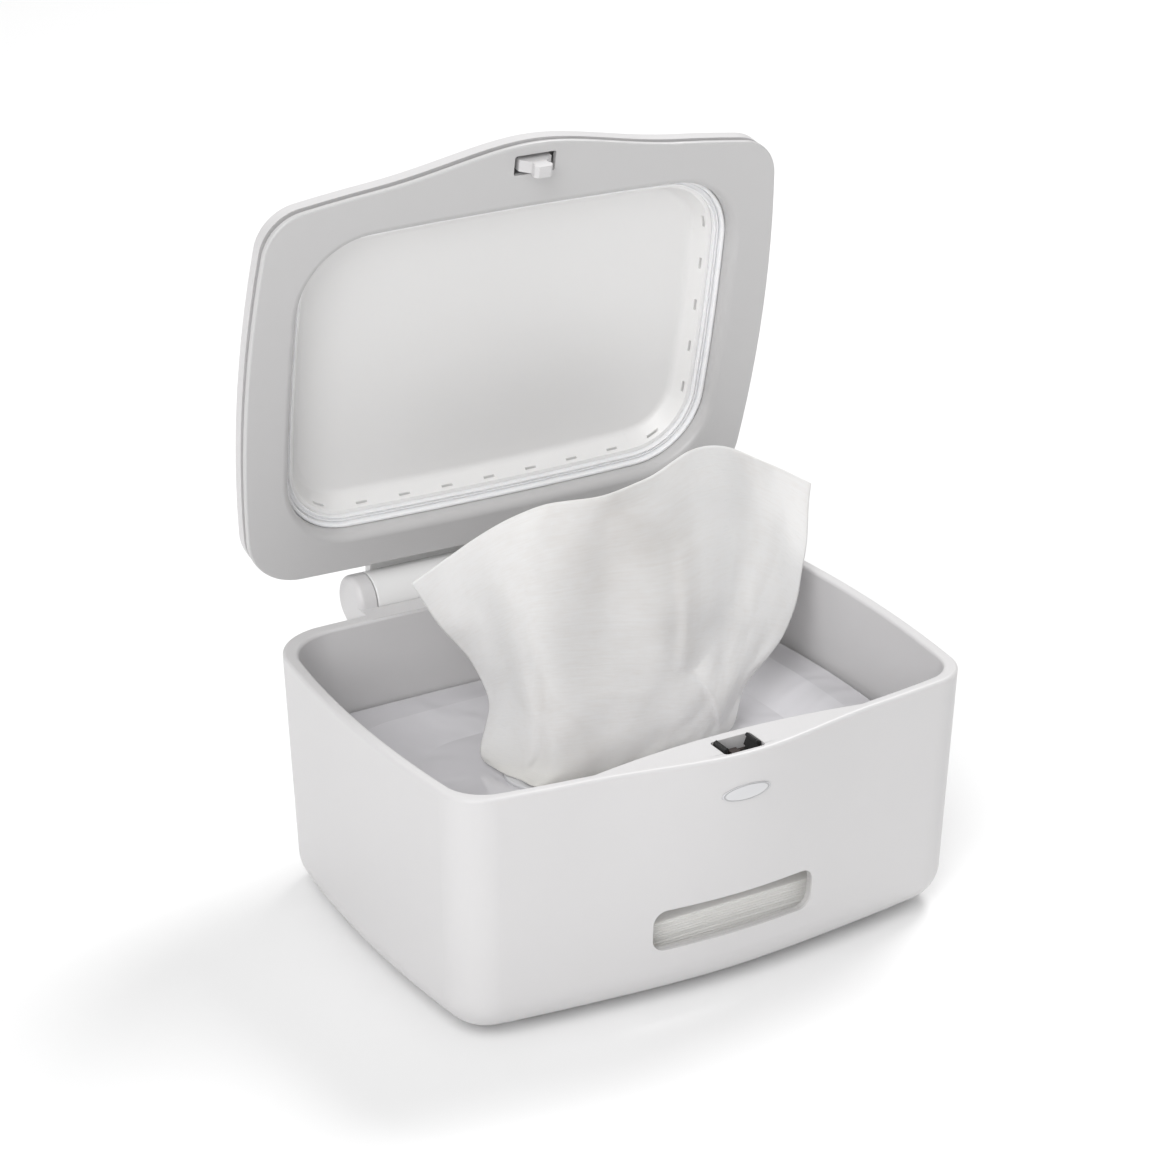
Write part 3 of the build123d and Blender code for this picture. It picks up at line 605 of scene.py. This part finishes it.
@dataclass
class Button(Assembly):
    """The release button with its striker."""

    title: str = "button"
    finishes: dict[str, Finish] = field(default_factory=lambda: {
        "release_button": WHITE, "striker": WHITE, "striker_screws": SPRING, "button_springs": SPRING})


@dataclass
class Plate(Assembly):
    """The weighted plate with its slot lip."""

    title: str = "plate"
    finishes: dict[str, Finish] = field(default_factory=lambda: {
        "plate_cover": PLATE, "plate_base": PLATE, "plate_weights": WEIGHT, "slot_lip": LIP})


def new_mesh(
    name: str, points: list[Vector], faces: list[tuple[int, ...]],
    weave: list[tuple[float, float]] | None = None
) -> bpy.types.Object:
    """A smooth mesh object.

    Args:
        name: The piece's name.
        points: Its corners in metres.
        faces: Its faces, as numbers of corners.
        weave: Each corner's place on the flat cloth in metres, if it has one.

    Returns:
        The object, linked to the scene.
    """
    mesh = bpy.data.meshes.new(name)
    mesh.from_pydata([tuple(p) for p in points], [], faces)
    mesh.validate()
    if weave:
        layer = mesh.uv_layers.new(name="weave")
        for loop in mesh.loops:
            layer.data[loop.index].uv = weave[loop.vertex_index]
    mesh.shade_smooth()
    piece = bpy.data.objects.new(name, mesh)
    bpy.context.scene.collection.objects.link(piece)
    return piece


def smooth_line(points: list[Vector], share: float) -> Vector:
    """A point on the smooth line through some points.

    Args:
        points: The line's points.
        share: How far along, from 0 to 1.

    Returns:
        The point there.
    """
    spot = share * (len(points) - 1)
    index = min(int(spot), len(points) - 2)
    t = spot - index
    a, b = points[index], points[index + 1]
    before = points[index - 1] if index > 0 else a * 2 - b
    after = points[index + 2] if index + 2 < len(points) else b * 2 - a
    return 0.5 * (
        2 * a + (b - before) * t + (2 * before - 5 * a + 4 * b - after) * t**2
        + (3 * a - before - 3 * b + after) * t**3)


@dataclass(frozen=True)
class Fold:
    """A fold of the sheet: a ridge along a line, steeper on one side than on the other.

    Attributes:
        start: Where it starts, as shares of the sheet's width and height.
        end: Where it ends.
        rise: How far it stands out in metres.
        left: Its width to the left, as a share of the sheet's width.
        right: Its width to the right.
        blunt: How its ends fall, from 1 for a plain arch to 0 for square ends.
    """

    start: tuple[float, float]
    end: tuple[float, float]
    rise: float
    left: float
    right: float
    blunt: float = 0.7

    def lift(self, u: float, v: float) -> float:
        """How far the fold lifts a place on the sheet.

        Args:
            u: The place's share of the sheet's width.
            v: Its share of the sheet's height.

        Returns:
            The lift in metres.
        """
        along = Vector(self.end) - Vector(self.start)
        place = Vector((u, v)) - Vector(self.start)
        share = min(max(place.dot(along) / along.length_squared, 0.0), 1.0)
        side = (place.x * along.y - place.y * along.x) / along.length
        if along.y < 0:
            side = -side
        width = self.left if side < 0 else self.right
        return self.rise * math.sin(math.pi * share) ** self.blunt * math.exp(-((side / width) ** 2))


@dataclass(frozen=True)
class Ripple:
    """Uneven waves over the sheet.

    Attributes:
        across: Lumps of noise over its width.
        up: Lumps over its height.
        depth: How far they stand out in metres.
        layer: The layer of the noise that they are read from.
    """

    across: float
    up: float
    depth: float
    layer: float

    def at(self, u: float, v: float) -> float:
        """How far the waves stand out at a place on the sheet, in metres."""
        return noise.noise(Vector((u * self.across, v * self.up, self.layer))) * self.depth


@dataclass
class PulledWipe:
    """The sheet pulled up through the slot, gathered at its foot and fanned out above.

    Attributes:
        across: Steps across the sheet.
        up: Steps up the sheet.
        thick: Its thickness in metres.
        folds: Its folds.
        broad: Its broad waves.
        broad_full: The share of its height where the broad waves are full.
        small: Its small waves.
        hem: The waves of its top edge.
        hem_fade: How quickly those fade below the edge, as a power.
        width: The width that it was cut to.
        shown: The length of it that is pulled out.
        keep: The share of its height that is left under a shut lid; not used.
    """

    across: int = 180
    up: int = 130
    thick: float = 0.0005
    folds: tuple[Fold, ...] = (
        Fold((0.64, 0.48), (0.88, 0.26), 0.0026, 0.010, 0.05),
        Fold((0.44, 0.98), (0.49, 0.42), -0.0024, 0.07, 0.06),
        Fold((0.60, 0.80), (0.60, 0.48), 0.0024, 0.018, 0.06),
        Fold((0.84, 0.98), (0.80, 0.60), -0.0016, 0.06, 0.05),
        Fold((0.245, 0.34), (0.235, 0.02), -0.0022, 0.03, 0.02))
    broad: Ripple = Ripple(4.2, 2.2, 0.004, 3.1)
    broad_full: float = 0.5
    small: Ripple = Ripple(13.0, 9.0, 0.0009, 7.7)
    hem: Ripple = Ripple(6.0, 1.5, 0.0012, 4.0)
    hem_fade: int = 4
    width: float = 0.205
    shown: float = 0.125
    keep: float = 0.2

    def rows(self) -> list[list[Triple]]:
        """The sheet's guide rows.

        Returns:
            The rows from its foot to its top edge, in millimetres about the slot's middle.
        """
        return [
            [(-49.5, 17, 62.2), (-48, 5, 62.2), (-45, -3.5, 62.2), (-41, -12.5, 62), (-20, -11, 57),
             (-4, -11, 57), (10, -11, 57), (22, -10, 57), (31, -8, 57), (38, -5, 57)],
            [(-49.5, 19.5, 66.5), (-45, 6, 68.5), (-39, -6, 70), (-29, -13, 70), (-12, -15, 69.5),
             (6, -15, 68.5), (20, -14, 67), (31, -13, 65.5), (40, -11, 64), (49, -8.5, 62.6)],
            [(-42, 26, 81), (-40, 13, 87), (-37, 0, 91), (-28, -8, 93), (-5, -10, 90), (14, -12, 87),
             (30, -12, 84), (42, -9, 81), (51, -6, 78), (59, -3, 76)],
            [(-46, 34, 98), (-41, 21, 108), (-37, 9, 116), (-28, 2, 118), (-4, 0, 115), (20, -6, 112),
             (42, 0, 108), (60, 8, 103), (74, 10, 97), (87, 9, 91)],
            [(-56, 40, 113), (-46, 30, 124), (-39, 17, 136), (-28, 10, 142), (-5, 4, 143), (22, 3, 142),
             (50, 16, 140), (74, 29, 134), (92, 29, 125), (102, 22, 113)],
            [(-66, 44, 132), (-53, 37, 142), (-41, 24, 157), (-25, 12, 168), (-4, 6, 170), (21, 9, 171),
             (48, 24, 171), (71, 34, 165), (91, 36, 154), (108, 26, 144)],
        ]

    def point(self, guide: list[list[Vector]], u: float, v: float) -> Vector:
        """The sheet's place at a share of its width and height.

        Args:
            guide: The guide rows.
            u: The share of its width.
            v: The share of its height.

        Returns:
            The place in metres.
        """
        spot = smooth_line([smooth_line(row, u) for row in guide], v)
        waves = self.broad.at(u, v) * min(1.0, v / self.broad_full) + self.small.at(u, v)
        spot.y += waves - sum(fold.lift(u, v) for fold in self.folds)
        spot.z += self.hem.at(u, 1.0) * v**self.hem_fade
        return spot

    def build(self) -> bpy.types.Object:
        """The sheet, given a thickness.

        Returns:
            The finished piece, riding on the plate.
        """
        slot_low, slot_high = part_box("slot_lip")
        middle = Vector((0.0, (slot_low.y + slot_high.y) / 2, 0.0))
        guide = [[Vector(p) * MM + middle for p in row] for row in self.rows()]
        shares = [(i / self.across, j / self.up) for j in range(self.up + 1) for i in range(self.across + 1)]
        points = [self.point(guide, u, v) for u, v in shares]
        row = self.across + 1
        faces = [
            (j * row + i, j * row + i + 1, (j + 1) * row + i + 1, (j + 1) * row + i)
            for j in range(self.up) for i in range(self.across)]
        piece = new_mesh("wipe_sheet", points, faces, [(u * self.width, v * self.shown) for u, v in shares])
        area = sum(f.area for f in piece.data.polygons) / SQUARE_CM
        solid = piece.modifiers.new("thickness", "SOLIDIFY")
        solid.thickness = self.thick
        solid.offset = 0.0
        with bpy.context.temp_override(object=piece, active_object=piece):
            bpy.ops.object.modifier_apply(modifier=solid.name)
        dress(piece, CLOTH)
        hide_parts("pulled_wipe")
        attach(piece, "plate")
        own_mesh(piece)
        log.info("wipe_sheet: %.0f square centimetres of a sheet %.0f mm wide", area, self.width / MM)
        return piece


@dataclass
class FoldedWipes:
    """The folded wipes: thin layers whose front edges hang a little, as they do under the plate's edge.

    Attributes:
        layers: How many folds are told apart.
        around: Steps round each layer.
        oval: How oval a layer's outline is, from 1 for an oval to 0 for an oblong.
        edge: A layer's edge from its foot to its top, as insets and rises in shares of its thickness.
        tuck: How far the lowest layer is tucked in, in metres.
        tucked: How many layers the tuck takes to run out.
        play: The room left all round, in metres.
        circle: The radius, in lumps of noise, of the circle that the edges' wobble is read round.
        wobble: How far the edges wobble, in metres.
        hang: How far the front edge hangs below the top, in metres.
        hang_reach: How far back the hang starts, in metres.
        shelf: How much of that lies level at the front, in metres.
        forward: How far the wipes have slid to the front wall, in metres.
        stray: How far a layer strays from the one below, in metres.
        stray_step: How many lumps of noise a layer is from the next.
        stray_row: The row of the noise that the straying is read from.
        aside: Where the cloth's pattern starts in metres, clear of its darker painted middle band and foot.
        slant: How far the pattern leans back.
        rings: The rings that close the top, as shares of its size.
        keep: The share of the height that is left under the plate's lowest place; not used.
    """

    layers: int = 24
    around: int = 144
    oval: float = 0.22
    edge: tuple[tuple[float, float], ...] = (
        (0.28, 0.0), (0.08, 0.22), (0.0, 0.5), (0.08, 0.78), (0.28, 1.0))
    tuck: float = 0.009
    tucked: int = 5
    play: float = 0.0008
    circle: float = 3.0
    wobble: float = 0.0005
    hang: float = 0.0146
    hang_reach: float = 0.042
    shelf: float = 0.015
    forward: float = 0.0045
    stray: float = 0.0006
    stray_step: float = 0.7
    stray_row: float = 0.3
    aside: float = 0.5
    slant: float = 0.5
    rings: tuple[float, ...] = (0.97, 0.9, 0.84, 0.78, 0.72, 0.66, 0.6, 0.54, 0.4, 0.2)
    keep: float = 0.16

    def outline(self, low: Vector, high: Vector, inset: float, share: float) -> Vector:
        """A point of a rounded oblong.

        Args:
            low: The oblong's lowest corner.
            high: Its highest corner.
            inset: How far it is drawn in.
            share: How far round, from 0 to 1.

        Returns:
            The point, with no height.
        """
        angle = share * math.tau
        x = math.copysign(abs(math.cos(angle)) ** self.oval, math.cos(angle))
        y = math.copysign(abs(math.sin(angle)) ** self.oval, math.sin(angle))
        half = (high - low) / 2 - Vector((inset, inset, 0))
        middle = (low + high) / 2
        return Vector((middle.x + half.x * x, middle.y + half.y * y, 0.0))

    def uneven(self, share: float, layer: int) -> float:
        """How far a layer's edge goes in at a place round it.

        Args:
            share: How far round, from 0 to 1.
            layer: The layer's number.

        Returns:
            The inset in metres, which may be negative.
        """
        angle = share * math.tau
        place = Vector((math.cos(angle) * self.circle, math.sin(angle) * self.circle, layer))
        return noise.noise(place) * self.wobble

    def drop(self, y: float, front: float) -> float:
        """How far the top hangs at a place, in metres."""
        near = min(max((self.hang_reach - (y - front)) / (self.hang_reach - self.shelf), 0.0), 1.0)
        return self.hang * (3 - 2 * near) * near**2

    def build(self) -> bpy.types.Object:
        """All the layers as one piece.

        Returns:
            The finished piece, riding on the tub.
        """
        low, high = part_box("wipes_stack")
        low.y -= self.forward
        high.y -= self.forward
        height = high.z - low.z
        pitch = height / self.layers
        points: list[Vector] = []
        for layer in range(self.layers):
            sway = noise.noise(Vector((layer * self.stray_step, self.stray_row, 0.0))) * self.stray
            tuck = self.tuck * max(0.0, 1.0 - layer / self.tucked) ** 2 + self.play
            for depth, rise in self.edge:
                level = low.z + (layer + rise) * pitch
                for step in range(self.around):
                    share = step / self.around
                    inset = tuck + depth * pitch + self.uneven(share, layer)
                    spot = self.outline(low, high, inset, share)
                    spot.y += sway
                    spot.z = level - self.drop(spot.y, low.y) * ((level - low.z) / height)
                    points.append(spot)
        faces: list[tuple[int, ...]] = []
        count = len(self.edge) * self.layers
        for ring in range(count - 1):
            for step in range(self.around):
                a, b = ring * self.around + step, ring * self.around + (step + 1) % self.around
                faces.append((a, b, b + self.around, a + self.around))
        self.cap(points, faces, (count - 1) * self.around, low, height)
        faces.append(tuple(reversed(range(self.around))))
        weave = [(p.x + p.y + self.aside, p.z + p.y * self.slant + self.aside) for p in points]
        piece = new_mesh("folded_wipes", points, faces, weave)
        dress(piece, LIT_FOLDED)
        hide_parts("wipes_stack")
        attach(piece, "tub")
        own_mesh(piece)
        log.info("folded_wipes: %d layers, %.0f mm high", self.layers, height / MM)
        return piece

    def cap(
        self, points: list[Vector], faces: list[tuple[int, ...]], start: int, low: Vector, height: float
    ) -> None:
        """Close the top with rings drawn in to its middle.

        Args:
            points: The corners so far.
            faces: The faces so far.
            start: The first corner of the top ring.
            low: The stack's lowest corner.
            height: Its height.
        """
        top = points[start:start + self.around]
        middle = sum(top, Vector()) / len(top)
        middle.z = low.z + height
        last = start
        for shrink in self.rings:
            first = len(points)
            for edge in top:
                spot = middle.lerp(edge, shrink)
                spot.z = low.z + height - self.drop(spot.y, low.y)
                points.append(spot)
            for step in range(self.around):
                following = (step + 1) % self.around
                faces.append((last + step, last + following, first + following, first + step))
            last = first
        faces.append(tuple(range(last, last + self.around)))


@dataclass(frozen=True)
class Lamp:
    """A soft square lamp.

    Attributes:
        name: Its name.
        place: Where it stands.
        size: Its side in metres.
        power: Its watts.
        aim: What it points at.
    """

    name: str
    place: Triple
    size: float
    power: float
    aim: Triple

    def hang(self) -> None:
        """Add the lamp to the scene."""
        light = bpy.data.lights.new(self.name, "AREA")
        light.size = self.size
        light.energy = self.power
        lamp = bpy.data.objects.new(self.name, light)
        lamp.location = self.place
        lamp.rotation_mode = "QUATERNION"
        lamp.rotation_quaternion = (Vector(self.aim) - Vector(self.place)).to_track_quat("-Z", "Y")
        bpy.context.scene.collection.objects.link(lamp)


@dataclass
class Studio:
    """A white floor, soft light and the camera at the photograph's place.

    Attributes:
        azimuth: The camera's turn round the object in degrees.
        elevation: Its height in degrees.
        distance: Its distance in metres.
        lens: Its focal length in millimetres.
        sensor: The width of its sensor in millimetres.
        near: How close it sees, in metres.
        aim: What it looks at.
        sky: The strength of the light from all round.
        lamps: The lamps.
        floor_half: Half the floor's side in metres.
        floor_tone: The floor's grey.
        floor_rough: Its roughness.
    """

    azimuth: float = -29.88
    elevation: float = 23.95
    distance: float = 1.18226
    lens: float = 95.67
    sensor: float = 36.0
    near: float = 0.05
    aim: Triple = (-0.01589, -0.00733, 0.13923)
    sky: float = 0.5
    lamps: tuple[Lamp, ...] = (
        Lamp("key", (1.8, 1.0, 3.0), 1.3, 64.0, (0.0, 0.0, 0.1)),
        Lamp("top", (-1.8, -1.3, 3.1), 2.0, 50.0, (0.0, 0.05, 0.15)),
        Lamp("face", (-1.9, -1.9, 1.3), 1.4, 28.0, (0.0, 0.05, 0.18)))
    floor_half: float = 6.0
    floor_tone: float = 0.89
    floor_rough: float = 0.9

    def camera(self) -> None:
        """Place the camera."""
        lens = bpy.data.cameras.new("camera")
        lens.lens = self.lens
        lens.sensor_width = self.sensor
        lens.clip_start = self.near
        eye = bpy.data.objects.new("camera", lens)
        bpy.context.scene.collection.objects.link(eye)
        turn, rise = math.radians(self.azimuth), math.radians(self.elevation)
        back = Vector((math.sin(turn) * math.cos(rise), -math.cos(turn) * math.cos(rise), math.sin(rise)))
        eye.location = Vector(self.aim) + back * self.distance
        eye.rotation_mode = "QUATERNION"
        eye.rotation_quaternion = (-back).to_track_quat("-Z", "Y")
        bpy.context.scene.camera = eye

    def floor(self) -> None:
        """Lay the floor."""
        signs = ((-1, -1), (1, -1), (1, 1), (-1, 1))
        corners = [Vector((x, y, 0)) * self.floor_half for x, y in signs]
        ground = new_mesh("floor", corners, [(0, 1, 2, 3)])
        shader = Shader("floor_paper")
        shader.feed("Base Color", (self.floor_tone,) * 3)
        shader.feed("Roughness", self.floor_rough)
        ground.data.materials.append(shader.material)

    def world(self) -> None:
        """Fill the world with plain pale light."""
        world = bpy.data.worlds.new("studio")
        world.use_nodes = True
        background = world.node_tree.nodes["Background"]
        background.inputs["Color"].default_value = (1.0, 1.0, 1.0, 1.0)
        background.inputs["Strength"].default_value = self.sky
        bpy.context.scene.world = world

    def build(self) -> None:
        """Set up the whole studio."""
        self.floor()
        self.world()
        for lamp in self.lamps:
            lamp.hang()
        self.camera()
        bpy.context.scene.view_settings.view_transform = "Standard"
        log.info("studio: camera at %.1f degrees, %.1f up", self.azimuth, self.elevation)


def main() -> None:
    """Build the pieces in order."""
    logging.basicConfig(level=logging.INFO, format="%(name)s: %(message)s")
    Studio().build()
    for assembly in (Tub(), Latch(), Lid(), Button(), Plate()):
        assembly.dress()
    PulledWipe().build()
    FoldedWipes().build()


if __name__ == "__main__":
    main()
